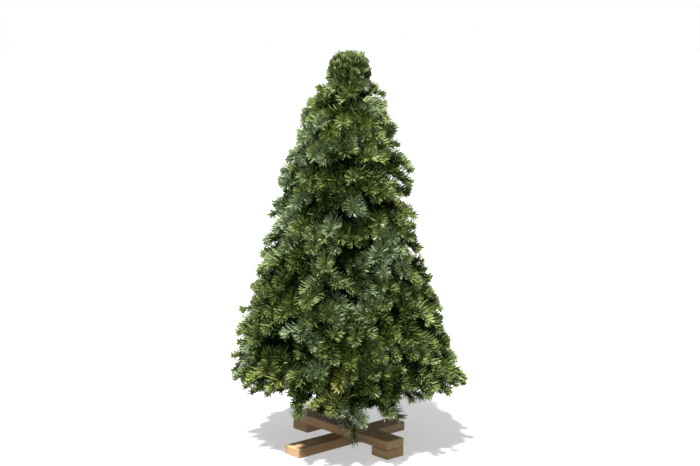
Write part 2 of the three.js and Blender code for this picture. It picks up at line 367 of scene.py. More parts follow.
# %% Places of the long needles
def rank_places(total, per_metre, ranks, tip, rng):
    """Where needles start (0 at the shoot's foot, 1 at its end), their ranks, and which are the tip's."""
    rows = max(2, int(total * per_metre / ranks)) if per_metre else 0
    body = rows * ranks
    rank = np.arange(body) % ranks
    row = np.arange(body) // ranks
    shift = rng.normal(0, 0.08, rows + 1)[row] + 0.5 * rank / ranks + rng.normal(0, 0.05, body)
    place = ((row + 0.4 + shift) / max(1, rows)).clip(0, 1) ** 0.95
    place = np.clip(np.concatenate([place, 1 - CONE_DEPTH * rng.random(tip) / total]), 0.02, 1.0)
    return place, rank, np.arange(body + tip) >= body


# %% Colours of the long needles
def needle_shades(family, place, ending, low, rng):
    """A material number for each triangle of the long needles. low marks those on the lower side."""
    young, inside, names, shares = FAMILIES[family]
    number = len(place)
    drawn = np.array([SHADE[name] for name in names])[rng.choice(len(names), number, p=shares)]
    drawn[rng.random(number) < YOUNG_SHARE * ending] = SHADE[young]
    # the inside colour near the shoot's foot and on many needles' first triangle is partly painted shade
    drawn[(place < INSIDE_REACH) & (rng.random(number) < 0.5)] = SHADE[inside]
    shades = np.repeat(drawn[:, None], 3, axis=1)
    shades[rng.random(number) < DARK_FOOT_SHARE, 0] = SHADE[inside]
    shades[low, 0] = SHADE[young]
    return shades.ravel()


# %% Short dark needles of one shoot
def filling_needles(points, along, above, number, usual, broad, inside, rng):
    """Short needles all along and all round a shoot, in dark colours that are painted shade."""
    place = rng.uniform(0.05, 1.0, number)
    lean = np.radians(rng.uniform(*SHORT_LEANS, number))
    turn = rng.uniform(-math.pi, math.pi, number)
    full = usual * rng.uniform(*SHORT_LENGTHS, number) * (1 - 0.3 * (place > 0.8))
    frames = needle_frames(points, along, above, place)
    corners, faces = short_needles(frames, lean, turn, full, broad, rng)
    # dark colours as painted shade in the gaps between the long needles
    shades = np.where(rng.random(number) < INSIDE_SHARE, SHADE[inside], SHADE["shade"])
    return corners, faces, shades


# %% All the needles of one shoot
def needles_on(points, along, above, rng, per_metre, family, **ways):
    """Needles round a shoot, in rows of a few ranks each. above is the side that they sweep to."""
    ways = NEEDLE_WAYS | ways
    spread, ranks, tip = ways["spread"], ways["ranks"], ways["tip"]
    total = np.linalg.norm(np.diff(points, axis=0), axis=1).sum()
    place, rank, at_tip = rank_places(total, per_metre, ranks, tip, rng)
    number = len(place)
    ending = np.clip(1 - (1 - place) * total / TIP_REACH, 0, 1)
    turn = np.concatenate([2 * (rank + 0.5) / ranks - 1, 2 * ((np.arange(tip) * GOLDEN) % 1) - 1])
    turn = spread * turn + rng.normal(0, 0.10, number)
    turn[at_tip] *= math.pi / spread
    turn_end = turn * np.where(at_tip, 0.5 + 0.5 * ways["sweep"], ways["sweep"])
    lean_foot = np.radians(FOOT_LEAN - 4 * ending + rng.normal(0, 2, number))
    lean_end = np.radians(END_LEAN - 8 * ending + rng.normal(0, 3, number))
    cone = np.sqrt((np.arange(tip) + 0.5) / max(1, tip))
    lean_foot[at_tip] = np.radians(2 + CONE_LEAN * cone)
    lean_end[at_tip] = lean_foot[at_tip] + np.radians(rng.normal(6, 4, tip))
    lean_foot = lean_foot * ways["lean"]
    lean_end = lean_end * ways["lean"]
    usual = ways["scale"] * NEEDLE_LENGTH
    full = usual * (1 - (1 - ways["blunt"]) * ending) * rng.uniform(0.94, 1.04, number)
    full = full * np.where(place < 0.12, 0.75, 1.0)
    twist = rng.normal(0, 0.45, number)
    frames = needle_frames(points, along, above, place)
    broad = NEEDLE_WIDTH * ways["width"] * np.where(at_tip, 0.85, 1.0)
    corners, faces = long_needles(frames, lean_foot, lean_end, turn, turn_end, full, twist, broad)
    shades = needle_shades(family, place, ending, np.abs(turn) > LOWER_SIDE * spread, rng)
    few = int(ways["fill"] * total * 1000)
    inside = FAMILIES[family][1]
    dark = filling_needles(points, along, above, few, usual, ways["broad"], inside, rng)
    return join_arrays([(corners, faces, shades), dark])


# %% [markdown]
# ## Twigs
# A twig is a thin tapering tube. Rings of corners follow its line, and each ring is joined to the next.
# The same helper makes the boughs, the shoots under the needles and the buds, with more or fewer sides.
# Curves with a round bevel would look the same, but thousands of them take long to turn into one mesh.

# %% Tubes
def ring_faces(rings, sides):
    """Four-cornered faces that join each ring of corners to the next."""
    k = np.arange(sides)
    following = (k + 1) % sides
    start = sides * np.arange(rings - 1)[:, None]
    faces = [start + k, start + following, start + sides + following, start + sides + k]
    return np.stack(faces, axis=-1).reshape(-1, 4)


def tube(points, radii, sides):
    """A tapering tube along a line of points."""
    along = unit(np.gradient(points, axis=0))
    level = np.cross(along, UP)
    level[np.linalg.norm(level, axis=1) < 0.05] = [1, 0, 0]
    level = unit(level)
    other = np.cross(along, level)
    turn = np.linspace(0, 2 * math.pi, sides, endpoint=False)
    ring = level[:, None] * np.cos(turn)[None, :, None] + other[:, None] * np.sin(turn)[None, :, None]
    corners = points[:, None] + ring * np.asarray(radii)[:, None, None]
    faces = ring_faces(len(points), sides)
    return corners.reshape(-1, 3), faces, np.zeros(len(faces))


# %% [markdown]
# ## Where the shoots end
# The skin of each mass is where its outermost shoots end. Points are scattered over the skin by area,
# then thinned so that no two are closer than a shoot's width. A place is kept only if it is in the open:
# somewhere between straight out and straight away from the skin, a ray must leave the crown. A scatter
# modifier could place copies of a few shoots, but then no shoot would fit its place or have its own twig.

# %% Open places on a mass
SKIN_LIFT = 0.002  # how far off the skin the search for open air starts
OPEN_REACH = 0.16  # how far a ray must get
TRY_SPACING = 0.5  # tries are this much closer together than the places that are kept
FACING_DOWN = -0.6  # skin whose normal falls below this is under a mass


def is_open(place, normal):
    """True if the place can be seen from outside the crown."""
    out = unit(np.array([place[0], place[1], 0.0]))
    start = Vector(place + SKIN_LIFT * normal)
    for direction in (normal, unit(out + 0.25 * UP), unit(out + normal)):
        hit = crown_search.ray_cast(start, Vector(direction), OPEN_REACH)
        if hit[0] is None:
            return True
    return False


def shoot_ends(name, rng, spacing, below_spacing):
    """Scattered, thinned places on the open skin of a mass, with the skin's normals there."""
    points = mass_corners[name]
    triangles = mass_triangles[name]
    a, b, c = (points[triangles[:, k]] for k in range(3))
    cross = np.cross(b - a, c - a)
    area = np.linalg.norm(cross, axis=1) / 2
    normals = unit(cross)
    count = int(area.sum() / (TRY_SPACING * spacing) ** 2)
    chosen = rng.choice(len(triangles), count, p=area / area.sum())
    u, v = rng.random((2, count))
    fold = u + v > 1
    u[fold], v[fold] = 1 - u[fold], 1 - v[fold]
    places = a[chosen] + u[:, None] * (b - a)[chosen] + v[:, None] * (c - a)[chosen]
    kept = []
    for place, normal in zip(places, normals[chosen]):
        gap = below_spacing if normal[2] < FACING_DOWN else spacing
        if kept and np.min(np.linalg.norm(np.array([k[0] for k in kept]) - place, axis=1)) < gap:
            continue
        if is_open(place, normal):
            kept.append((place, normal))
    return kept


# %% Places inside a mass
INNER_SPACING = 0.031
INNER_DEPTH = 0.024  # no inner shoot is nearer to the skin than this
LOWEST_CLOSER = 0.78  # the lowest masses are seen from below too, so their inner shoots are closer
LOWEST_NEARER = 0.7  # and nearer to the skin
CLEAR_OF_TRUNK = 0.02


def inner_places(name, rng):
    """Thinned places all through a mass, no nearer to its skin than INNER_DEPTH."""
    points = mass_corners[name]
    search = BVHTree.FromPolygons(points.tolist(), mass_triangles[name].tolist())
    low, high = points.min(axis=0), points.max(axis=0)
    lowest = "_1_" in name
    spacing = INNER_SPACING * (LOWEST_CLOSER if lowest else 1.0)
    depth = INNER_DEPTH * (LOWEST_NEARER if lowest else 1.0)
    count = int(np.prod(high - low) / (0.3 * spacing) ** 3)
    kept = np.zeros((0, 3))
    for place in low + (high - low) * rng.random((count, 3)):
        if len(kept) and np.min(np.linalg.norm(kept - place, axis=1)) < spacing:
            continue
        near, normal, _, _ = search.find_nearest(Vector(place))
        gap = (Vector(place) - near).dot(normal)
        if gap < -depth and np.hypot(place[0], place[1]) > CLEAR_OF_TRUNK:
            kept = np.vstack([kept, place])
    return list(kept)


# %% [markdown]
# ## How a bough grows
# Each bough carries on through its mass as a main branch that droops more the further out it gets. Every
# shoot ends at a place on the skin and points outwards and down, as the shoots of this fir do. Shoots
# are taken from the nearest to the furthest, and each joins the branch system where the way back to the
# bough is short and does not double back. That rule gives forks like a real branch and fills a given
# outline, which a rule that only grows outwards would not. The seeds make it the same on every run.

# %% Droop of the boughs
DROOP_SLOPE = 0.44
DROOP_START = 0.042


def droop(r):
    """How far a bough has fallen at a distance from the trunk."""
    return DROOP_SLOPE * r * r / (r + DROOP_START)


def bough_line(name, count):
    """Middle line of a packed bough, from inside the trunk to its end, and its angle and height."""
    corners = corners_of(name)
    away = np.linalg.norm(corners[:, :2], axis=1)
    end = corners[away > away.max() - 0.0035].mean(axis=0)
    reach = float(np.hypot(end[0], end[1]))
    angle = math.atan2(end[1], end[0])
    root_height = end[2] + droop(reach)
    root, _ = trunk_at(root_height)
    t = np.linspace(0.0, 1.0, count)
    line = np.outer(reach * t, turned_out(angle))
    line[:, :2] += np.outer(1 - t, root[:2])
    line[:, 2] = root_height - droop(reach * t)
    return line, angle, root_height, reach


# %% [markdown]
# ## Colours and hollows by place
# The front of the crown has blue sprays on its left edge and down its middle, fresh green ones between
# them, and olive ones low down. On the left edge the silver and sage are partly wax and partly painted
# light, where the lamp falls most. The deep green spots are painted shade where the crown is in shadow,
# and in other places there is no spray at all, so that the crown opens into shade. Each place is a spot
# on the front, with how far it reaches, and the first spot that holds a shoot decides its colours. The
# other sides follow general shares, with hollows scattered by seed. A shoot that crosses a hollow once
# is deep green, as painted shade. One that crosses it twice is left out, and a short near-black shoot
# deeper in takes its place, also as painted shade.

# %% Tinted spots on the front
# spots of the deep family are painted shade where the crown is in shadow
TINTS = (
    # x, z, reach, family
    (-0.045, 0.570, 0.026, "silver"),
    (0.069, 0.567, 0.024, "deep_and_painted_shade"),
    (0.185, 0.310, 0.036, "deep_and_painted_shade"),
    (-0.190, 0.200, 0.030, "deep_and_painted_shade"),
    (-0.235, 0.205, 0.030, "blue"),
    (-0.070, 0.800, 0.030, "silver"),
    (-0.090, 0.640, 0.036, "deep_and_painted_shade"),
    (-0.135, 0.650, 0.030, "silver"),
    (0.083, 0.690, 0.050, "deep_and_painted_shade"),
    (0.008, 0.656, 0.020, "deep_and_painted_shade"),
    (0.066, 0.626, 0.024, "deep_and_painted_shade"),
    (0.123, 0.597, 0.020, "grass"),
    (0.000, 0.525, 0.025, "deep_and_painted_shade"),
    (0.124, 0.509, 0.025, "deep_and_painted_shade"),
    (-0.078, 0.498, 0.024, "fern"),
    (-0.026, 0.463, 0.024, "sage"),
    (-0.010, 0.410, 0.030, "silver"),
    (-0.100, 0.371, 0.026, "fern"),
    (-0.172, 0.452, 0.026, "sage"),
    (0.086, 0.390, 0.032, "deep_and_painted_shade"),
    (-0.050, 0.348, 0.026, "deep_and_painted_shade"),
    (-0.080, 0.325, 0.022, "deep_and_painted_shade"),
    (-0.010, 0.293, 0.028, "deep_and_painted_shade"),
    (-0.168, 0.368, 0.026, "deep_and_painted_shade"),
    (0.183, 0.356, 0.036, "deep_and_painted_shade"),
    (0.118, 0.314, 0.024, "deep_and_painted_shade"),
    (0.216, 0.234, 0.030, "deep_and_painted_shade"),
    (0.118, 0.217, 0.022, "deep_and_painted_shade"),
    (-0.176, 0.314, 0.024, "fern"),
    (0.031, 0.314, 0.026, "sage"),
    (0.078, 0.243, 0.032, "fern"),
    (0.158, 0.256, 0.030, "fern"),
    (0.169, 0.199, 0.026, "fern"),
    (-0.060, 0.217, 0.020, "deep_and_painted_shade"),
    (-0.060, 0.176, 0.026, "olive"),
    (-0.026, 0.195, 0.022, "olive"),
    (-0.170, 0.188, 0.024, "green"),
    # the silver and sage spots on the left edge are partly the fir's wax and partly painted light
    (-0.110, 0.690, 0.070, "silver"),
    (-0.100, 0.780, 0.035, "sage"),
    (-0.170, 0.570, 0.070, "silver"),
    (-0.200, 0.470, 0.050, "sage"),
    (0.035, 0.580, 0.035, "silver"),
    (0.090, 0.470, 0.036, "silver"),
    (0.040, 0.440, 0.050, "blue"),
    (0.010, 0.380, 0.055, "blue"),
    (-0.240, 0.220, 0.040, "green"),
    (0.250, 0.220, 0.050, "green"),
    (0.040, 0.690, 0.050, "green"),
    (-0.020, 0.660, 0.030, "green"),
    (0.100, 0.600, 0.040, "deep_and_painted_shade"),
    (0.140, 0.530, 0.036, "green"),
    (-0.110, 0.520, 0.040, "green"),
    (-0.190, 0.390, 0.050, "deep_and_painted_shade"),
    (-0.110, 0.360, 0.060, "green"),
    (0.155, 0.380, 0.070, "deep_and_painted_shade"),
    (0.040, 0.830, 0.050, "green"),
    (-0.240, 0.320, 0.036, "fern"),
    (-0.180, 0.290, 0.045, "deep_and_painted_shade"),
    (-0.100, 0.265, 0.045, "deep_and_painted_shade"),
    (-0.140, 0.200, 0.025, "olive"),
    (0.050, 0.240, 0.030, "deep_and_painted_shade"),
    (0.100, 0.280, 0.040, "fern"),
    (0.090, 0.200, 0.036, "deep_and_painted_shade"),
    (0.210, 0.270, 0.036, "fern"),
    (0.120, 0.155, 0.050, "deep_and_painted_shade"),
)


# %% Families dealt out by place
FRONT = 0.05  # places with a lesser y count as the front
TINT_SHARE = 0.85  # of the shoots in a tinted spot, how many take its colours


def family_for(place, rng, crossed):
    """A family of colours for a spray: that of a tinted spot if it is in one, or by general shares."""
    x, y, z = place
    if y < FRONT and rng.random() < TINT_SHARE:
        for spot_x, spot_z, reach, family in TINTS:
            if math.hypot(x - spot_x, z - spot_z) < reach:
                return family
    # a shoot that crosses a hollow once is deep green, as painted shade
    if crossed:
        return "deep_and_painted_shade"
    low = max(0.0, (0.42 - z) / 0.3)
    shares = {
        "blue": 0.22 - 0.5 * x,
        "silver": 0.08 - 0.2 * x,
        "sage": 0.16,
        "fern": 0.18,
        "green": 0.16 + 0.5 * x,
        "grass": 0.05,
        "deep_and_painted_shade": 0.12,
        "olive": 0.08 + 0.08 * low,
    }
    names = list(shares)
    values = np.maximum(0.0, np.array([shares[name] for name in names]))
    return names[rng.choice(len(names), p=values / values.sum())]


# %% Hollows in front and behind
HOLLOWS = (
    # x, z, reach
    (-0.015, 0.812, 0.018),
    (-0.020, 0.706, 0.024),
    (-0.030, 0.610, 0.030),
    (-0.054, 0.606, 0.026),
    (-0.084, 0.590, 0.028),
    (0.018, 0.500, 0.022),
    (0.046, 0.505, 0.016),
    (-0.125, 0.442, 0.022),
    (-0.085, 0.446, 0.018),
    (0.075, 0.592, 0.022),
    (-0.142, 0.286, 0.022),
    (-0.180, 0.286, 0.020),
    (-0.155, 0.262, 0.018),
    (-0.092, 0.256, 0.022),
    (-0.010, 0.294, 0.018),
    (0.022, 0.205, 0.026),
    (0.100, 0.205, 0.022),
    (0.130, 0.335, 0.024),
)
BACK_HOLLOWS = 26
hollow_rng = np.random.default_rng(21)
back_hollows = []
for _ in range(BACK_HOLLOWS):
    z = hollow_rng.uniform(0.24, 0.78)
    turn = math.radians(hollow_rng.uniform(-15, 195))
    back_hollows.append((turn, z, hollow_rng.uniform(0.018, 0.032)))
print(len(TINTS), "tinted spots,", len(HOLLOWS), "hollows in front and", BACK_HOLLOWS, "behind")

# %% Is a place in a hollow?
def in_hollow(place):
    """True where the crown opens into shade."""
    x, y, z = place
    if y < 0:
        return any(math.hypot(x - hx, z - hz) < reach for hx, hz, reach in HOLLOWS)
    away = math.hypot(x, y)
    for turn, hz, reach in back_hollows:
        if math.dist(place, (away * math.cos(turn), away * math.sin(turn), hz)) < reach:
            return True
    return False


def hollows_crossed(end, heading, length):
    """At how many of three places on its outer half a shoot would cross a hollow."""
    return sum(in_hollow(end - heading * length * share) for share in (0.0, 0.25, 0.5))


# %% One shoot
def make_shoot(end, heading, length, rng, bend=0.4):
    """A shoot's points and directions, worked back from its end. It is more level at its foot."""
    level = unit(heading + bend * UP)
    middle = end - heading * length * 0.4
    foot = middle - level * length * 0.6
    wander = rng.normal(0, 0.004, 3)
    return curve_points(foot, middle + wander, end, 7)


def outside_by(place):
    """How far a place lies outside the masses. Less than nothing means that it is inside one."""
    near, normal, _, _ = crown_search.find_nearest(Vector(place))
    return float((Vector(place) - near).dot(normal))


# %% Joining shoots to the branches
TURN_COST = 0.6  # what a metre of twig costs more when it turns away from the shoot's direction
BACK_COST = 0.35  # what a metre of branch between the twig and the trunk costs
TWIG_STEP = 0.018  # about how long a straight piece of twig is
TWIG_ARCH = 0.08  # how far a twig arches up, as a share of its length
TWIG_SIDES = 5
TWIG_GROWTH = 0.42  # a twig that carries more shoots is thicker by this power of their number


class Branches:
    """The growing branch system of one mass: points, the way back to the trunk, and what they carry."""

    def __init__(self, line):
        steps = np.linalg.norm(np.diff(line, axis=0), axis=1)
        self.points = list(line)
        self.back = list(np.concatenate([[0], np.cumsum(steps)]))
        self.parent = [-1] + list(range(len(line) - 1))
        self.load = [0] * len(line)

    def join(self, foot, heading):
        """Grows a twig from the best branch point to a shoot's foot."""
        points = np.array(self.points)
        gap = foot - points
        distance = np.linalg.norm(gap, axis=1)
        ahead = np.sum(unit(gap) * heading, axis=1)
        cost = distance * (1 + TURN_COST - TURN_COST * ahead) + BACK_COST * np.array(self.back)
        at = int(np.argmin(cost))
        way, far = gap[at], distance[at]
        start = points[at]
        steps = max(2, int(far / TWIG_STEP) + 1)
        for t in np.linspace(0, 1, steps + 1)[1:]:
            point = start + way * t + UP * TWIG_ARCH * far * math.sin(math.pi * t)
            self.back.append(self.back[at] + float(np.linalg.norm(point - self.points[at])))
            self.points.append(point)
            self.parent.append(at)
            self.load.append(0)
            at = len(self.points) - 1
        while at >= 0:
            self.load[at] += 1
            at = self.parent[at]

    def tubes(self, thinnest, skip):
        """The twigs as tubes, thicker where they carry more shoots. skip leaves out the bough itself."""
        made = []
        for node in range(skip, len(self.points)):
            parent = self.parent[node]
            thick = thinnest * self.load[parent] ** TWIG_GROWTH
            thin = thinnest * max(1, self.load[node]) ** TWIG_GROWTH
            radii = [thin if parent < skip else thick, thin]
            made.append(tube(np.array([self.points[parent], self.points[node]]), radii, TWIG_SIDES))
        return made


# %% [markdown]
# ## Growing the whole crown
# The masses are grown one after another. Sprays end on the skin, and single shoots fill the places that
# their needles don't reach. A second layer of short shoots ends deeper in, so that the gaps between
# sprays look into more foliage and then into shade. Their near-black colour is painted shade. Every place
# on the skin has a number series of its own, so a change at one place leaves the others as they are.

# %% Crown settings
NEEDLES_PER_METRE = 1050
THINNEST_TWIG = 0.0011  # radius of a twig that carries one shoot
END_GAP = 0.009  # from the shoot's end to the ends of its last needles
DARK_WAYS = {"bud": False, "tip": 12, "fill": 3.4, "broad": 0.0058}  # a short shoot deep in the crown
STEM_FOOT = 0.0015  # radius of a shoot's stem where it starts, and at its end
STEM_END = 0.0010
BUD_LENGTHS = (0.0022, 0.0048)  # from the shoot's end to the bud's widest place and to its point
BUD_RADII = (0.0013, 0.0021, 0.0002)
HANGING_FALL = 0.85  # a shoot that falls more steeply than this has its upper side away from the trunk

# What has been grown so far, by mass or in a list.
needle_parts = {name: [] for name in mass_names}
shoot_parts = []
twig_parts = []
bud_parts = []
bough_lines = {}
stem_points = []
every_stem = []
branches_of = {}
shoot_count = 0


# %% Grow a shoot with its needles, stem and bud
def plant_shoot(name, branches, end, heading, length, rng, family, per_metre, bud=True, bend=0.4, **ways):
    """Adds one shoot to a mass and joins it to the branches. Returns the points of its stem."""
    global shoot_count
    above = unit(UP + rng.normal(0, 0.16, 3))
    if abs(heading[2]) > HANGING_FALL:
        above = unit(np.array([end[0], end[1], 0.02]) + rng.normal(0, 0.01, 3))
    points, along = make_shoot(end, heading, length, rng, bend)
    needle_rng = np.random.default_rng(shoot_count)
    needle_parts[name].append(needles_on(points, along, above, needle_rng, per_metre, family, **ways))
    shoot_parts.append(tube(points[::2], np.linspace(STEM_FOOT, STEM_END, 4), 3))
    if bud:
        bud_line = np.array([end] + [end + heading * far for far in BUD_LENGTHS])
        bud_parts.append(tube(bud_line, BUD_RADII, 5))
    if branches is not None:
        branches.join(points[0], along[0])
    shoot_count += 1
    every_stem.extend(points)
    if family != "painted_shade":
        stem_points.extend(points[2:])
    return points


# %% Is a place on the skin already covered?
FILL_GAP = 0.031
NEWEST = 700  # how many of the newest stem points are tested, which saves time


def shoot_covers(place):
    """True if a shoot's needles already reach the place."""
    stems = np.array(stem_points[-NEWEST:])
    return len(stems) > 0 and float(np.min(np.linalg.norm(stems - place, axis=1))) < FILL_GAP


# %% A spray: one leading shoot and a side shoot each way
SIDE_SHOOT_CHANCE = 0.6
SHORTEST_LEAD = 0.045  # a shorter leading shoot has no side shoots
SHORTEST_SIDE = 0.034


def plant_spray(name, branches, end, heading, length, rng, family, **ways):
    """A flat fan of up to three shoots, as at the end of every fir twig."""
    points = plant_shoot(name, branches, end, heading, length, rng, family, NEEDLES_PER_METRE, **ways)
    across = unit(np.cross(heading, UP) + rng.normal(0, 0.18, 3))
    for way in (-1, 1):
        if rng.random() > SIDE_SHOOT_CHANCE or length < SHORTEST_LEAD:
            continue
        lean = math.radians(rng.uniform(34, 46))
        aim = unit(heading * math.cos(lean) + way * across * math.sin(lean))
        start = points[2] + (points[3] - points[2]) * rng.random()
        reach = rng.uniform(0.66, 0.88) * length
        while reach > SHORTEST_SIDE and outside_by(start + aim * (reach + END_GAP)) > 0.001:
            reach -= 0.006
        if reach <= SHORTEST_SIDE:
            continue
        side_end = start + aim * reach
        side_end[2] -= 0.1 * reach
        aim = unit(side_end - start)
        if hollows_crossed(side_end, aim, reach) > 1:
            continue
        plant_shoot(name, None, side_end, aim, reach, rng, family, NEEDLES_PER_METRE, bend=0.1, **ways)


# %% [markdown]
# ## Lone shoots
# A few shoots are placed one by one, where the outline or the front needs a shoot that the rule doesn't
# give: tips that stick out at the sides, a fringe under the skirt and one golden shoot low in front.
# Some near-black ones in front are painted shade over places that lie in shadow.
# Each is given by its end, the way it points and its family, and it joins the branches of the nearest
# mass like any other.

# %% Lone shoots, listed
LONE_SHOOTS = (
    # end, direction, family
    ((-0.112, -0.205, 0.128), (-0.12, -0.30, -0.95), "fern"),
    ((-0.128, -0.160, 0.180), (-0.45, -0.35, -0.70), "green"),
    ((-0.150, -0.150, 0.170), (-0.55, -0.40, -0.60), "deep_and_painted_shade"),
    ((-0.183, -0.140, 0.157), (-0.65, -0.40, -0.50), "blue"),
    ((-0.218, -0.110, 0.155), (-0.80, -0.35, -0.35), "blue"),
    ((-0.246, -0.040, 0.338), (-0.92, -0.20, -0.25), "sage"),
    ((-0.256, -0.030, 0.280), (-0.92, -0.20, -0.25), "fern"),
    ((-0.254, -0.040, 0.258), (-0.92, -0.20, -0.25), "fern"),
    ((-0.266, -0.040, 0.226), (-0.92, -0.20, -0.20), "fern"),
    ((-0.205, -0.030, 0.425), (-0.90, -0.20, -0.30), "sage"),
    ((-0.196, -0.030, 0.470), (-0.90, -0.20, -0.30), "silver"),
    ((-0.175, -0.075, 0.455), (-0.80, -0.45, -0.40), "silver"),
    ((-0.186, -0.030, 0.500), (-0.90, -0.20, -0.30), "sage"),
    ((-0.166, -0.020, 0.588), (-0.90, -0.20, -0.35), "silver"),
    ((-0.152, -0.020, 0.645), (-0.90, -0.20, -0.35), "silver"),
    ((-0.095, -0.020, 0.805), (-0.90, -0.20, -0.30), "silver"),
    ((-0.016, -0.256, 0.206), (-0.15, -0.75, -0.65), "gold"),
    ((-0.032, -0.100, 0.548), (0.00, -0.60, -0.60), "deep_and_painted_shade"),
    ((0.015, -0.165, 0.590), (0.10, -0.80, -0.50), "silver"),
    ((-0.028, -0.235, 0.262), (-0.10, -0.80, -0.50), "fern"),
    ((0.080, -0.225, 0.262), (0.30, -0.75, -0.50), "fern"),
    ((0.150, -0.190, 0.262), (0.55, -0.60, -0.50), "fern"),
    ((-0.078, -0.165, 0.503), (-0.35, -0.75, -0.50), "fern"),
    ((-0.090, -0.195, 0.382), (-0.35, -0.75, -0.50), "fern"),
    ((0.085, -0.165, 0.445), (0.35, -0.75, -0.45), "silver"),
    ((-0.038, -0.178, 0.546), (-0.10, -0.80, -0.50), "silver"),
    ((-0.060, -0.100, 0.782), (-0.40, -0.75, -0.50), "silver"),
    ((-0.048, -0.190, 0.466), (-0.10, -0.80, -0.50), "fern"),
    ((-0.185, -0.060, 0.440), (-0.85, -0.35, -0.35), "silver"),
    ((-0.030, -0.122, 0.708), (-0.10, -0.70, -0.60), "painted_shade"),
    ((-0.050, -0.150, 0.600), (-0.20, -0.60, -0.60), "painted_shade"),
    ((-0.026, -0.158, 0.612), (0.00, -0.60, -0.60), "painted_shade"),
    ((0.022, -0.200, 0.446), (0.05, -0.70, -0.60), "painted_shade"),
    ((-0.012, -0.238, 0.292), (0.00, -0.70, -0.60), "painted_shade"),
    ((0.168, -0.140, 0.352), (0.70, -0.60, -0.40), "deep_and_painted_shade"),
    ((-0.060, -0.240, 0.210), (-0.15, -0.70, -0.60), "deep_and_painted_shade"),
    ((-0.024, -0.225, 0.150), (0.00, -0.50, -0.80), "deep_and_painted_shade"),
    ((0.108, -0.165, 0.180), (0.35, -0.40, -0.70), "fern"),
    ((0.128, -0.130, 0.150), (0.45, -0.35, -0.70), "deep_and_painted_shade"),
    ((0.150, -0.140, 0.147), (0.50, -0.40, -0.60), "green"),
    ((0.171, -0.130, 0.150), (0.60, -0.40, -0.55), "deep_and_painted_shade"),
    ((0.194, -0.120, 0.158), (0.70, -0.35, -0.45), "green"),
    ((0.217, -0.100, 0.155), (0.75, -0.35, -0.45), "deep_and_painted_shade"),
    ((0.238, -0.070, 0.153), (0.85, -0.30, -0.35), "green"),
    ((0.222, -0.030, 0.338), (0.90, -0.20, -0.30), "green"),
    ((0.204, -0.030, 0.374), (0.90, -0.20, -0.25), "green"),
    ((0.176, -0.020, 0.452), (0.90, -0.25, -0.25), "sage"),
    ((0.122, -0.020, 0.612), (0.90, -0.15, -0.30), "fern"),
    ((0.112, -0.040, 0.638), (0.90, -0.25, -0.30), "fern"),
    ((0.126, -0.020, 0.655), (0.90, -0.15, -0.40), "fern"),
    ((0.100, -0.020, 0.770), (0.88, -0.15, -0.40), "sage"),
    ((0.084, -0.010, 0.845), (0.90, -0.10, -0.35), "deep_and_painted_shade"),
)


def nearest_mass(place):
    """The mass whose corners come nearest to a place."""
    gaps = {name: np.min(np.linalg.norm(mass_corners[name] - place, axis=1)) for name in mass_names}
    return min(gaps, key=gaps.get)


# %% [markdown]
# ## Masses grown out
# Each mass is grown on from the end of its bough. The bough carries on into the mass as a slightly
# swaying main branch, sprays come first and fillers after them, nearest first, and the dark inner
# shoots come last.

# %% Main branch of a mass
BRANCH_REACH = 0.74  # how far the main branch goes, as a share of the way to the mass's furthest corner


def main_branch(name, far, level):
    """The bough and the branch it becomes in its mass, how many points are the bough's, and its angle."""
    line, angle, root_height, reach = bough_line(name, 7)
    out = np.arange(reach, BRANCH_REACH * far, 0.014)[1:]
    sway = 0.012 * np.sin(out * 22 + level)
    turn = angle + sway / np.maximum(out, 0.02)
    beyond = np.stack([out * np.cos(turn), out * np.sin(turn), root_height - droop(out)], axis=1)
    return np.concatenate([line, beyond]), len(line), angle


# %% Outer shoots of a mass
SPRAY_SPACING = 0.051
UNDER_SPACING = 0.050
CLOSER_LEVELS = {6: 0.78, 5: 0.9, 1: 0.92}  # whorls whose sprays stand closer together
TILTS = {6: 27, 5: 29, 4: 31}  # how many degrees the shoots of a whorl fall
USUAL_TILT = 34
UNDER_TILT = 16  # and how many more under the mass
SHORT_TIPPED = 4  # whorls below this have shoots whose last needles are short
RETREATS = [0.0, 0.0, 0.0, 0.010, 0.020]  # how far a spray stops short of the skin
FILLER_LENGTH = 0.8
# a hidden shoot is near black, as painted shade in the hollow
HIDDEN_WAYS = {"bud": False, "tip": 20, "fill": 4.0, "broad": 0.005}  # a dark shoot where a hollow is


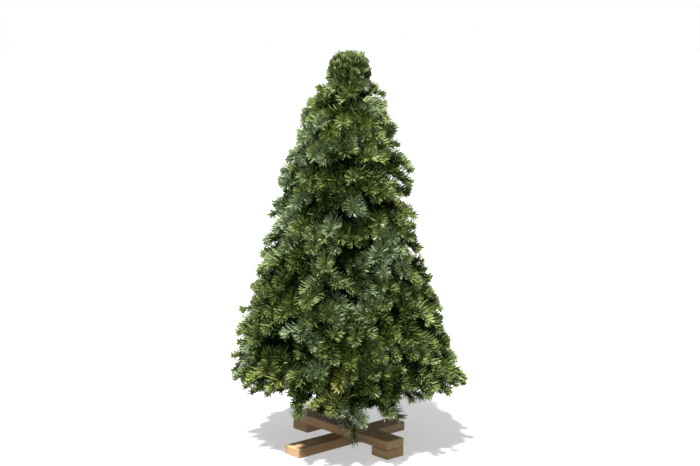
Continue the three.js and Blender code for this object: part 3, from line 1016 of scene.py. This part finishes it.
def grow_skin(name, branches, level, bough_end, seed, rng):
    """Sprays that end on the skin of a mass, then single shoots where no needles reach."""
    spacing = SPRAY_SPACING * CLOSER_LEVELS.get(level, 1.0)
    ends = [(place, normal, True) for place, normal in shoot_ends(name, rng, spacing, UNDER_SPACING)]
    ends.sort(key=lambda e: float(np.linalg.norm(e[0] - bough_end)))
    sprays = len(ends)
    ends += [(place, normal, False) for place, normal in shoot_ends(name, rng, FILL_GAP, FILL_GAP)]
    filled = 0
    for number, (place, normal, leads) in enumerate(ends):
        if not leads and shoot_covers(place):
            continue
        own = np.random.default_rng([seed, number])
        out_dir = unit(np.array([place[0], place[1], 0.0]))
        fan = unit(place * [1, 1, 0] - bough_end * [1, 1, 0])
        sideways = np.array([-out_dir[1], out_dir[0], 0]) * own.normal(0, 0.4)
        plan = unit(0.62 * out_dir + 0.38 * fan + sideways)
        under = normal[2] < -0.5
        drop = math.radians(own.normal(TILTS.get(level, USUAL_TILT) + UNDER_TILT * under, 11))
        heading = plan * math.cos(drop) - UP * math.sin(drop)
        away = float(np.hypot(place[0], place[1]))
        blunt = own.uniform(0.48, 0.6) if level < SHORT_TIPPED else own.uniform(0.62, 0.78)
        retreat = own.choice(RETREATS) if level < 6 else -0.004
        end = place - heading * (END_GAP + 0.005 * under + retreat)
        length = min(own.uniform(0.075, 0.11), 0.8 * away)
        crossed = hollows_crossed(end, heading, length)
        if crossed > 1:
            deep_end = end - 0.055 * out_dir + 0.01 * UP
            length = min(length, 0.07)
            # in its place a near-black shoot deeper in, as painted shade
            plant_shoot(name, branches, deep_end, heading, length, own, "painted_shade", 600, **HIDDEN_WAYS)
            continue
        family = family_for(end - 0.03 * heading, own, crossed)
        if leads:
            plant_spray(name, branches, end, heading, length, own, family, blunt=blunt)
            continue
        filled += 1
        length *= FILLER_LENGTH
        plant_shoot(name, branches, end, heading, length, own, family, NEEDLES_PER_METRE, blunt=blunt)
    return sprays, filled


# %% Dark shoots inside a mass
def grow_inside(name, branches, bough, angle, rng):
    """Short near-black shoots, as painted shade, all through a mass, and in pairs along its bough."""
    inner = inner_places(name, rng)
    side = np.array([-math.sin(angle), math.cos(angle), 0.0])
    for share in (0.2, 0.45, 0.7, 0.9):
        on_bough = bough[int(share * (len(bough) - 1))]
        for way in (-1, 1):
            inner.append(on_bough + way * rng.uniform(0.02, 0.05) * side - UP * rng.uniform(0.0, 0.03))
    for place in inner:
        away = float(np.hypot(place[0], place[1]))
        out_dir = np.array([place[0], place[1], 0.0]) / away
        heading = unit(out_dir * 0.8 - UP * 0.45 + rng.normal(0, 0.35, 3))
        plant_shoot(name, branches, place, heading, min(0.065, 0.8 * away), rng, "painted_shade", 0, **DARK_WAYS)
    return len(inner)


# %% Lone shoots of a mass
LONE_WAYS = {"bend": 0.6, "blunt": 0.6}


def grow_lone(name, branches, rng):
    """The lone shoots that are nearest to this mass."""
    for end, way, family in LONE_SHOOTS:
        end = np.array(end)
        if nearest_mass(end) != name:
            continue
        heading = unit(np.array(way))
        length = min(0.095, 0.75 * float(np.hypot(end[0], end[1])))
        plant_shoot(name, branches, end, heading, length, rng, family, NEEDLES_PER_METRE, **LONE_WAYS)


# %% Grow the masses on the boughs
for name in mass_names:
    bough_name = name.replace("foliage", "bough")
    if bough_name not in nodes or "hanging" in name:
        continue
    level, turn_number = (int(part) for part in name.split("_")[1:])
    seed = 1000 + 10 * level + turn_number
    rng = np.random.default_rng(seed)
    far = np.linalg.norm(mass_corners[name][:, :2], axis=1).max()
    whole, inside, angle = main_branch(bough_name, far, level)
    bough = whole[:inside]
    bough_lines[bough_name] = whole
    branches = Branches(whole)
    branches_of[name] = (branches, len(whole))
    sprays, filled = grow_skin(name, branches, level, bough[-1], seed, rng)
    dark = grow_inside(name, branches, bough, angle, rng)
    grow_lone(name, branches, rng)
    print(name, "has", sprays, "sprays,", filled, "between them and", dark, "inside")

# %% [markdown]
# ## Shade between the masses
# Between the masses the crown would let light through from one side to the other. Short shoots are set
# there, only where no shoot is near yet, and their near-black colour is painted shade. With them every
# branch is known, so the twigs are made here.

# %% Shade between the masses
CORE_GAP = 0.027  # how far a place must be from every shoot so far
CORE_SPACING = 0.030
CORE_TRIES = 12000
CORE_FOOT = 0.18
CORE_TOP = 0.80
CORE_SHARE = 0.60  # of the crown's radius at each height

rng = np.random.default_rng(3)
stems = np.array(every_stem)
core = np.zeros((0, 3))
for _ in range(CORE_TRIES):
    z = rng.uniform(CORE_FOOT, CORE_TOP)
    crown_radius = 0.27 - 0.31 * (z - 0.15)
    turn = rng.uniform(0, 2 * math.pi)
    away = CLEAR_OF_TRUNK + (CORE_SHARE * crown_radius - CLEAR_OF_TRUNK) * math.sqrt(rng.random())
    place = np.array([away * math.cos(turn), away * math.sin(turn), z])
    if np.min(np.linalg.norm(stems - place, axis=1)) < CORE_GAP:
        continue
    if len(core) and np.min(np.linalg.norm(core - place, axis=1)) < CORE_SPACING:
        continue
    core = np.vstack([core, place])
for place in core:
    away = float(np.hypot(place[0], place[1]))
    heading = unit(np.array([place[0], place[1], 0.0]) / away - 0.4 * UP)
    name = nearest_mass(place)
    branches, _ = branches_of.get(name, (None, 0))
    plant_shoot(name, branches, place, heading, min(0.05, 0.8 * away), rng, "painted_shade", 0, **DARK_WAYS)
for branches, skip in branches_of.values():
    twig_parts += branches.tubes(THINNEST_TWIG, skip)
print(len(core), "dark shoots between the masses")

# %% [markdown]
# ## The bundle at the top
# The tip of the tree is a blunt bundle of shoots that all rise from the end of the trunk, the middle ones
# straight up and the rest leaning out. The leading shoot was cut short, so none stands above the others.
# Their needles are shorter, more crowded and closer to the shoot than those of the crown.

# %% Grow the top
TOP_FOOT = 0.80  # where the topmost twigs may start on the trunk
TOP_HEART = 0.835  # the height that the bundle's shoots point away from
TOP_SPACING = 0.0135
TOP_NEEDLES = 1500  # for each metre
TOP_TWIG = 0.0012
TOP_WAYS = {
    "bud": False,
    "sweep": 1.0,
    "spread": 3.14,
    "ranks": 9,
    "tip": 18,
    "blunt": 0.85,
    "scale": 0.7,
    "lean": 0.5,
}

rng = np.random.default_rng(77)
top_line = np.array([trunk_at(z)[0] for z in np.linspace(TOP_FOOT, TRUNK_TIP - 0.004, 9)])
top_branches = Branches(top_line)
top_heart = trunk_at(TOP_HEART)[0]
top_ends = shoot_ends("foliage_top", rng, TOP_SPACING, UNDER_SPACING)
top_ends.sort(key=lambda e: float(np.linalg.norm(e[0] - top_heart)))
for place, normal in top_ends:
    heading = unit(place - top_heart + rng.normal(0, 0.010, 3))
    shoulder = 1 - abs(2 * max(0.0, heading[2]) - 1)
    end = place - heading * (rng.uniform(0.012, 0.020) + 0.006 * shoulder)
    length = min(rng.uniform(0.045, 0.06), 0.78 * float(np.linalg.norm(end - top_heart)))
    plant_shoot("foliage_top", top_branches, end, heading, length, rng, "tuft", TOP_NEEDLES, **TOP_WAYS)
twig_parts += top_branches.tubes(TOP_TWIG, len(top_line))
print("the top bundle has", len(top_ends), "shoots")

# %% [markdown]
# ## The two sprays that hang below
# In front, one thin spray hangs nearly straight down under the skirt and shows light between its
# needles. It hangs in the crown's shade, and the very pale green among its needles is painted light.
# Another leans out to the right. Each has its own thin bough from the trunk, one main shoot and two side
# shoots, and few short needles, so that it stays open.

# %% Lines of the hanging sprays
def hanging_line(name, count):
    """Middle line of a hanging mass, from its top to its lowest point."""
    corners = mass_corners[name]
    order = np.argsort(corners[:, 2])
    low = corners[order[:4]].mean(axis=0)
    high = corners[order[-4:]].mean(axis=0)
    return np.linspace(high, low, count)


def lead_line(name, count):
    """The thin bough from the trunk to a hanging spray, slightly arched."""
    corners = corners_of(name)
    away = np.linalg.norm(corners[:, :2], axis=1)
    tip = corners[away > away.max() - 0.003].mean(axis=0)
    root, _ = trunk_at(float(corners[away < away.min() + 0.01][:, 2].mean()))
    return curve_points(root, (root + tip) / 2 + 0.008 * UP, tip, count)[0]


# %% Grow the hanging sprays
FINE_WAYS = {"sweep": 0.85, "ranks": 6, "fill": 0.3, "tip": 16, "blunt": 0.8, "width": 1.3}
SIDE_LEAN = 0.42  # how far the side shoots lean from the main one
HANGING_GAP = 0.014  # from the main shoot's end to the lowest needles
SIDE_SHOOTS = ((1, 0.62, 0.72), (-1, 0.5, 0.55))  # side, length, and where it ends, as shares of the main

for name, family, per_metre, scale, spread in (
    # the front spray's palest needles are painted light, as it hangs in the crown's shade
    ("foliage_hanging_front", "feather", 620, 1.25, 3.1),
    ("foliage_hanging_right", "green", 1000, 1.0, 2.6),
):
    rng = np.random.default_rng(500 + len(name))
    bough_name = name.replace("foliage", "bough")
    spine = hanging_line(name, 8)
    lead = lead_line(bough_name, 7)
    bough_lines[bough_name] = np.concatenate([lead, spine[1:3]])
    branches = Branches(np.concatenate([lead, spine[1:4]]))
    heading = unit(spine[-1] - spine[0])
    side = unit(np.cross(heading, UP))
    outward = unit(np.array([spine[-1][0], spine[-1][1], 0]))
    end = spine[-1] - heading * HANGING_GAP
    length = float(np.linalg.norm(end - spine[0]))
    ways = FINE_WAYS | {"spread": spread}
    plant_shoot(name, branches, end, heading, length, rng, family, per_metre, scale=scale, **ways)
    for turn, share, where in SIDE_SHOOTS:
        lean = unit(heading + turn * SIDE_LEAN * side + 0.1 * outward)
        start = spine[0] + heading * length * (where - share)
        finish = start + lean * length * share
        plant_shoot(name, branches, finish, lean, length * share, rng, family, per_metre, **ways)
    twig_parts += branches.tubes(THINNEST_TWIG, len(lead))

needle_faces = sum(len(part[1]) for parts in needle_parts.values() for part in parts)
print(shoot_count, "shoots with", needle_faces, "needle faces")

# %% [markdown]
# ## Needles into pieces
# The needles of neighbouring masses are joined into a few large pieces, each small enough to handle. A
# piece stands for the masses whose needles it holds.

# %% Needle pieces
PIECE_FACES = 190000

groups = [[]]
held = 0
for name in mass_names:
    faces = sum(len(part[1]) for part in needle_parts[name])
    if held and held + faces > PIECE_FACES:
        groups.append([])
        held = 0
    groups[-1].append(name)
    held += faces
for number, group in enumerate(groups, 1):
    parts = [part for name in group for part in needle_parts[name]]
    piece = make_piece(f"needles_{number}", *join_arrays(parts), needle_materials, "foliage")
    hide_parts(*group)
    print(piece.name, "has", len(piece.data.polygons), "faces for", ", ".join(group))

# %% [markdown]
# ## Bark
# The bark of a young fir is thin, grey-brown and nearly smooth, with lens-shaped resin blisters that lie
# level, faint rings where each year's branches grew, and a greener cast on the twigs. Colour and fine
# relief come from noise stretched round the stem, as they are too small to model. The blisters and rings
# are real bumps in the mesh, since they show at the edge of the trunk.

# %% Shader nodes
def feed(tree, socket, value):
    """Links a socket to another node's result, or gives it a plain value."""
    if isinstance(value, bpy.types.NodeSocket):
        tree.links.new(value, socket)
    else:
        socket.default_value = value


def add_node(tree, kind, **inputs):
    """A new node of a kind, with the inputs that are named."""
    node = tree.nodes.new("ShaderNode" + kind)
    for name, value in inputs.items():
        feed(tree, node.inputs[name.replace("_", " ")], value)
    return node


def mix_colours(tree, factor, first, second, blend="MIX"):
    """The result of mixing two colours."""
    node = tree.nodes.new("ShaderNodeMix")
    node.data_type = "RGBA"
    node.blend_type = blend
    for name, value in (("Factor", factor), ("A", first), ("B", second)):
        feed(tree, node.inputs[name], value)
    return node.outputs["Result"]


def add_relief(tree, height, strength, distance):
    """Bumps the surface by a height."""
    bump = add_node(tree, "Bump", Strength=strength, Distance=distance, Height=height)
    tree.links.new(bump.outputs["Normal"], tree.nodes["Principled BSDF"].inputs["Normal"])


# %% Bark materials
def bark_material(name, dark, light, patch, grain=90.0, relief=0.35):
    """Fine noise stretched up the stem between two browns, with broad greener patches."""
    material = plain_material(name, dark, roughness=0.85, shine=0.2)
    tree = material.node_tree
    place = tree.nodes.new("ShaderNodeTexCoord").outputs["Object"]
    stretch = add_node(tree, "Mapping", Vector=place, Scale=(1, 1, 2.6))
    fine = add_node(tree, "TexNoise", Vector=stretch.outputs["Vector"], Scale=grain, Detail=6)
    broad = add_node(tree, "TexNoise", Vector=place, Scale=grain / 5, Detail=2)
    ground = mix_colours(tree, fine.outputs["Fac"], (*dark, 1), (*light, 1))
    ramp = add_node(tree, "MapRange", Value=broad.outputs["Fac"], From_Min=0.5, From_Max=0.7)
    colour = mix_colours(tree, ramp.outputs["Result"], ground, (*patch, 1))
    tree.links.new(colour, tree.nodes["Principled BSDF"].inputs["Base Color"])
    add_relief(tree, fine.outputs["Fac"], relief, 0.0012)
    return material


# The boughs' browns are near black, far darker than real fir bark: painted shade, as they lie in shadow.
bough_browns_and_painted_shade = (0.015, 0.011, 0.007), (0.032, 0.023, 0.014), (0.022, 0.020, 0.010)
bark = bark_material("fir_bark", (0.055, 0.042, 0.032), (0.17, 0.14, 0.11), (0.10, 0.11, 0.07))
bough_bark = bark_material("bough_bark", *bough_browns_and_painted_shade, grain=160.0)

# %% Twig, stem and bud materials
# Thin twigs are too small for a pattern: a plain colour with a little shine.
# The twigs' brown is much darker than real fir twigs: painted shade, as they show in the shaded hollows.
twig_brown_and_painted_shade = plain_material("twig_brown_and_painted_shade", (0.028, 0.019, 0.010), roughness=0.8, shine=0.1)
shoot_green = plain_material("shoot_green", (0.055, 0.055, 0.018), roughness=0.8, shine=0.1)
bud_brown = plain_material("bud_brown", (0.12, 0.07, 0.028), roughness=0.8, shine=0.1)
print("bark and twig materials made")

# %% [markdown]
# ## Trunk
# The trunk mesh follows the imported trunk's middle line and thickness, with a ring of corners every few
# millimetres. Blisters, branch rings and long soft flutes push its surface in and out by a millimetre or
# so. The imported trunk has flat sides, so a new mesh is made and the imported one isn't shown.

# %% Trunk relief
TRUNK_SIDES = 40
TRUNK_RINGS = 190
BLISTERS = 260
BLISTER_WIDTH = 0.0042
BLISTER_HEIGHT = 0.0019
FLUTE_DEPTH = 0.0004
SWELLING = 0.0003  # what each bough adds to the trunk round where it starts
SWELLING_HEIGHT = 0.006
SURFACE_DEPTH = 0.0006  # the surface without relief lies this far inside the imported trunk

turns = np.linspace(0, 2 * math.pi, TRUNK_SIDES, endpoint=False)
ring = np.stack([np.cos(turns), np.sin(turns), np.zeros(TRUNK_SIDES)], axis=1)
rng = np.random.default_rng(3)
blister_heights = TRUNK_FOOT + (TRUNK_TIP - TRUNK_FOOT) * rng.random(BLISTERS)
blister_turns = rng.uniform(0, 2 * math.pi, BLISTERS)
blister_sizes = rng.uniform(0.0004, 0.0011, BLISTERS)
main_boughs = [name for name in nodes if name.startswith("bough") and "hanging" not in name]
root_heights = np.array([bough_line(name, 2)[2] for name in main_boughs])


def trunk_relief(z, radius):
    """How far the surface stands out round the trunk at a height: flutes, blisters and branch rings."""
    flutes = FLUTE_DEPTH * np.sin(5 * turns + 9 * z) * min(1, radius / 0.01)
    apart = (turns[:, None] - blister_turns + math.pi) % (2 * math.pi) - math.pi
    level, rise = apart * radius / BLISTER_WIDTH, (z - blister_heights) / BLISTER_HEIGHT
    blisters = (np.exp(-(level**2) - rise**2) * blister_sizes).sum(axis=1) * min(1, radius / 0.012)
    return flutes + blisters + SWELLING * np.exp(-(((z - root_heights) / SWELLING_HEIGHT) ** 2)).sum()


# %% Trunk piece
trunk_points = [np.tile(trunk_at(TRUNK_FOOT)[0], (TRUNK_SIDES, 1))]
for z in np.linspace(TRUNK_FOOT, TRUNK_TIP, TRUNK_RINGS):
    middle, radius = trunk_at(z)
    trunk_points.append(middle + ring * (radius - SURFACE_DEPTH + trunk_relief(z, radius))[:, None])
trunk_points.append(np.tile(trunk_at(TRUNK_TIP)[0], (TRUNK_SIDES, 1)))
trunk_faces = ring_faces(len(trunk_points), TRUNK_SIDES)
trunk_arrays = np.concatenate(trunk_points), trunk_faces, np.zeros(len(trunk_faces))
trunk_piece = make_piece("trunk_bark", *trunk_arrays, [bark], "bark")
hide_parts("trunk")
print("trunk has", len(trunk_faces), "faces")

# %% [markdown]
# ## Boughs, twigs, shoots and buds
# Each bough is a limb that tapers from its collar on the trunk to the end of its main branch, with small
# swellings spaced evenly along it. The twigs, the green stems under the needles and the buds are three
# more pieces, each kind joined.

# %% Bough piece
LOWEST_BUTT = 0.0074  # radius of the lowest boughs where they leave the trunk
BUTT_STEP = 0.0008  # how much thinner they are in each whorl above
HANGING_BUTT = 0.0036
BOUGH_TAPER = 0.72
COLLAR = 0.3  # how much thicker the collar is than the butt
COLLAR_LENGTH = 0.006

bough_parts = []
for name, line in bough_lines.items():
    rng = np.random.default_rng(len(line) + int(1000 * abs(line[-1][0])))
    whorl = name.split("_")[1]
    butt = HANGING_BUTT if whorl == "hanging" else LOWEST_BUTT - BUTT_STEP * (int(whorl) - 1)
    fine = np.linspace(0, len(line) - 1, 5 * len(line))
    smooth = np.stack([np.interp(fine, np.arange(len(line)), line[:, k]) for k in range(3)], axis=1)
    _, trunk_radius = trunk_at(float(line[0][2]))
    away = np.linalg.norm(smooth - smooth[0], axis=1)
    keep = away > 0.6 * trunk_radius
    smooth, away = smooth[keep], away[keep]
    radii = butt * (1 - BOUGH_TAPER * away / away[-1])
    radii = radii + COLLAR * butt * np.exp(-(((away - trunk_radius) / COLLAR_LENGTH) ** 2))
    radii = radii * (1 + 0.05 * np.sin(away * 260) + rng.normal(0, 0.02, len(radii)))
    bough_parts.append(tube(smooth, radii, 10))
boughs = make_piece("boughs", *join_arrays(bough_parts), [bough_bark], "bough_bark")
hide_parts(*sorted(name for name in nodes if name.startswith("bough")))

# %% Twig, shoot and bud pieces
twigs = make_piece("twigs", *join_arrays(twig_parts), [twig_brown_and_painted_shade], "bough_bark")
shoots = make_piece("shoot_stems", *join_arrays(shoot_parts), [shoot_green], "bough_bark")
buds = make_piece("buds", *join_arrays(bud_parts), [bud_brown], "bough_bark")
for piece in (boughs, twigs, shoots, buds):
    print(piece.name, "has", len(piece.data.polygons), "faces")

# %% [markdown]
# ## Stand
# The stand is two softwood boards halved over each other with a block under each end of the upper one.
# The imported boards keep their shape. Sawn softwood shows long growth lines along the board, so the
# pattern is a stretched wave bent by noise, turned to lie along each board.

# %% Softwood material
def softwood_material(name, turn):
    """Sawn softwood whose growth lines run along a board that is turned by an angle."""
    material = plain_material(name, (0.62, 0.42, 0.22), roughness=0.62, shine=0.5)
    tree = material.node_tree
    place = tree.nodes.new("ShaderNodeTexCoord").outputs["Object"]
    lay = add_node(tree, "Mapping", Vector=place, Rotation=(0, 0, -turn))
    stretch = add_node(tree, "Mapping", Vector=lay.outputs["Vector"], Scale=(3.5, 60, 60)).outputs["Vector"]
    rings = add_node(tree, "TexWave", Vector=stretch, Scale=1.1, Distortion=3.5, Detail=3)
    rings.bands_direction = "Y"
    fibre = add_node(tree, "TexNoise", Vector=stretch, Scale=9, Detail=5).outputs["Fac"]
    colour = mix_colours(tree, rings.outputs["Fac"], (0.62, 0.42, 0.22, 1), (0.47, 0.28, 0.13, 1))
    colour = mix_colours(tree, 0.35, colour, fibre, "MULTIPLY")
    tree.links.new(colour, tree.nodes["Principled BSDF"].inputs["Base Color"])
    add_relief(tree, fibre, 0.25, 0.0006)
    return material


def long_way(name):
    """The direction that a board runs in, the one that its corners spread in most."""
    corners = corners_of(name)[:, :2]
    spread = corners - corners.mean(axis=0)
    _, vectors = np.linalg.eigh(spread.T @ spread)
    return math.atan2(vectors[1, -1], vectors[0, -1])


BOARD_GUIDES = {
    # solid: the board that its growth lines run along
    "stand_lower_board": "stand_lower_board",
    "stand_upper_board": "stand_upper_board",
    "stand_front_block": "stand_upper_board",
    "stand_back_block": "stand_upper_board",
}
for name, guide in BOARD_GUIDES.items():
    board = nodes[name]
    board.data.materials.clear()
    board.data.materials.append(softwood_material(f"softwood_{name}", long_way(guide)))
print("boards finished")

# %% [markdown]
# ## Floor and light
# A wide pale floor, as in a studio. One strong lamp stands high in front, a little to the left, and gives
# the tree clear shadows between its shoots. A weak, low and much wider lamp in front opens the deepest of
# them. Both are suns, so that their light doesn't fall off over the tree. Soft light comes from the pale
# walls all round, and the ceiling is darker, so the inside of the crown stays deep.

# %% Floor
bpy.ops.mesh.primitive_circle_add(vertices=96, radius=60, fill_type="NGON", location=(0, 0, 0))
floor = bpy.context.object
floor.name = "floor"
floor_material = plain_material("pale_floor", (0.72, 0.72, 0.72), roughness=0.9, shine=0.5)
floor_surface = floor_material.node_tree.nodes["Principled BSDF"]
floor_surface.inputs["Emission Color"].default_value = (1, 1, 1, 1)
floor_surface.inputs["Emission Strength"].default_value = 0.45
floor.data.materials.append(floor_material)
floor.visible_diffuse = False

# %% Lamps
LAMP_DISTANCE = 4


def sun_lamp(name, energy, width, rise, side):
    """A sun that looks at the tree's foot. Its width in the sky, rise and side are in degrees."""
    rise, side = math.radians(rise), math.radians(side)
    lamp_data = bpy.data.lights.new(name, "SUN")
    lamp_data.energy = energy
    lamp_data.angle = math.radians(width)
    lamp = bpy.data.objects.new(name, lamp_data)
    bpy.context.scene.collection.objects.link(lamp)
    to_lamp = Vector((math.cos(rise) * math.cos(side), math.cos(rise) * math.sin(side), math.sin(rise)))
    lamp.location = LAMP_DISTANCE * to_lamp
    lamp.rotation_euler = (-to_lamp).to_track_quat("-Z", "Y").to_euler()


sun_lamp("key", energy=11.0, width=4, rise=62, side=-107)
sun_lamp("fill", energy=0.4, width=30, rise=8, side=-95)

# %% Pale walls and a darker ceiling
WALL_STOPS = (
    # height of the direction, from straight down (-1) to straight up (1), and brightness
    (-1.0, 0.06),
    (-0.06, 0.06),
    (-0.02, 1.0),
    (0.05, 1.0),
    (0.08, 0.9),
    (0.15, 0.9),
    (0.22, 0.2),
    (1.0, 0.2),
)
world = bpy.data.worlds.new("surroundings")
bpy.context.scene.world = world
world.use_nodes = True
tree = world.node_tree
ground = tree.nodes["Background"]
direction = tree.nodes.new("ShaderNodeTexCoord").outputs["Generated"]
split = add_node(tree, "SeparateXYZ", Vector=direction)
height = add_node(tree, "MapRange", Value=split.outputs["Z"], From_Min=-1, From_Max=1)
ramp = add_node(tree, "ValToRGB", Fac=height.outputs["Result"])
tree.links.new(ramp.outputs["Color"], ground.inputs["Color"])
while len(ramp.color_ramp.elements) < len(WALL_STOPS):
    ramp.color_ramp.elements.new(0.5)
for element, (rise, bright) in zip(ramp.color_ramp.elements, WALL_STOPS):
    element.position = 0.5 + 0.5 * rise
    element.color = (bright, bright, bright, 1)
bpy.context.scene.view_settings.view_transform = "Standard"
print("stage set")
